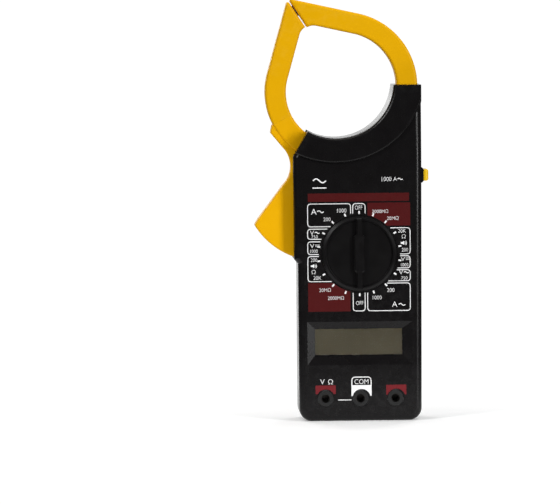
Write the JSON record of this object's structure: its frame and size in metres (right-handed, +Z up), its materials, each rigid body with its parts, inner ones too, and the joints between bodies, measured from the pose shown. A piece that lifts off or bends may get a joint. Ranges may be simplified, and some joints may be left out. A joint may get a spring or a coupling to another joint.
{
  "type": "clamp meter",
  "caption": "Hand-held digital clamp meter with sprung opening jaws, side trigger, rotary selector, display window, side hold button and three input sockets.",
  "frame": {"origin": "centre of the bottom end face, on the parting plane of the two case halves", "axes": "+Z up the meter towards the jaws, -Y out of the display side, +X to the right of a person reading the display"},
  "size_m": [0.0947, 0.037, 0.2299],
  "materials": {
    "case_black": "satin",
    "knob_black": "satin",
    "jaw_yellow": "satin",
    "trigger_yellow": "satin",
    "button_yellow": "satin",
    "rim_black": "gloss",
    "window_clear": "clear",
    "display_grey": "gloss",
    "strip_grey": "matte",
    "board_green": "satin",
    "chip_black": "matte",
    "socket_dark": "dark plated",
    "brass": "polished",
    "steel": "satin",
    "core_iron": "laminated",
    "winding_copper": "enamelled wire",
    "bobbin_white": "satin",
    "battery_can": "satin"
  },
  "bodies": {
    "case": {"front_housing": "case_black", "rear_housing": "case_black", "battery_cover": "case_black", "fixed_jaw_front": "jaw_yellow", "fixed_jaw_rear": "jaw_yellow", "fixed_core": "core_iron", "coil_bobbin": "bobbin_white", "pickup_coil": "winding_copper", "pivot_pin": "steel", "lcd_window": "window_clear", "lcd_glass": "display_grey", "zebra_strip_1": "strip_grey", "zebra_strip_2": "strip_grey", "main_board": "board_green", "meter_chip": "chip_black", "driver_chip": "chip_black", "buzzer": "chip_black", "trim_pot": "button_yellow", "fuse_link": "bobbin_white", "hold_switch": "chip_black", "rim_ext": "rim_black", "rim_com": "rim_black", "rim_v_ohm": "rim_black", "socket_ext": "socket_dark", "socket_com": "socket_dark", "socket_v_ohm": "socket_dark", "battery": "battery_can", "battery_snap": "chip_black", "battery_stud_1": "steel", "battery_stud_2": "steel", "case_screw_1": "steel", "case_screw_2": "steel", "case_screw_3": "steel", "case_screw_4": "steel", "cover_screw": "steel"},
    "moving_jaw": {"moving_jaw_front": "jaw_yellow", "moving_jaw_rear": "jaw_yellow", "moving_core": "core_iron", "trigger_front": "trigger_yellow", "trigger_rear": "trigger_yellow", "trigger_screw_1": "steel", "trigger_screw_2": "steel", "return_spring": "steel"},
    "selector": {"selector_knob": "knob_black", "detent_ball_1": "steel", "detent_ball_2": "steel", "detent_spring_1": "steel", "detent_spring_2": "steel", "wiper_1": "brass", "wiper_2": "brass"},
    "hold": {"hold_button": "button_yellow", "hold_plunger": "chip_black"}
  },
  "joints": [
    {"name": "jaw_open", "type": "hinge", "parent": "case", "child": "moving_jaw", "pos_m": [-0.0213, 0, 0.1283], "axis": [0, -1, 0], "range_deg": [0, 30], "stiffness_Nm_per_rad": 1, "springref_deg": -17.19},
    {"name": "selector_turn", "type": "hinge", "parent": "case", "child": "selector", "pos_m": [0, 0, 0.09135], "axis": [0, -1, 0], "continuous": true},
    {"name": "hold_press", "type": "slide", "parent": "case", "child": "hold", "axis": [-1, 0, 0], "range_m": [0, 0.0015], "stiffness_N_per_m": 400, "springref_m": -0.0005}
  ]
}
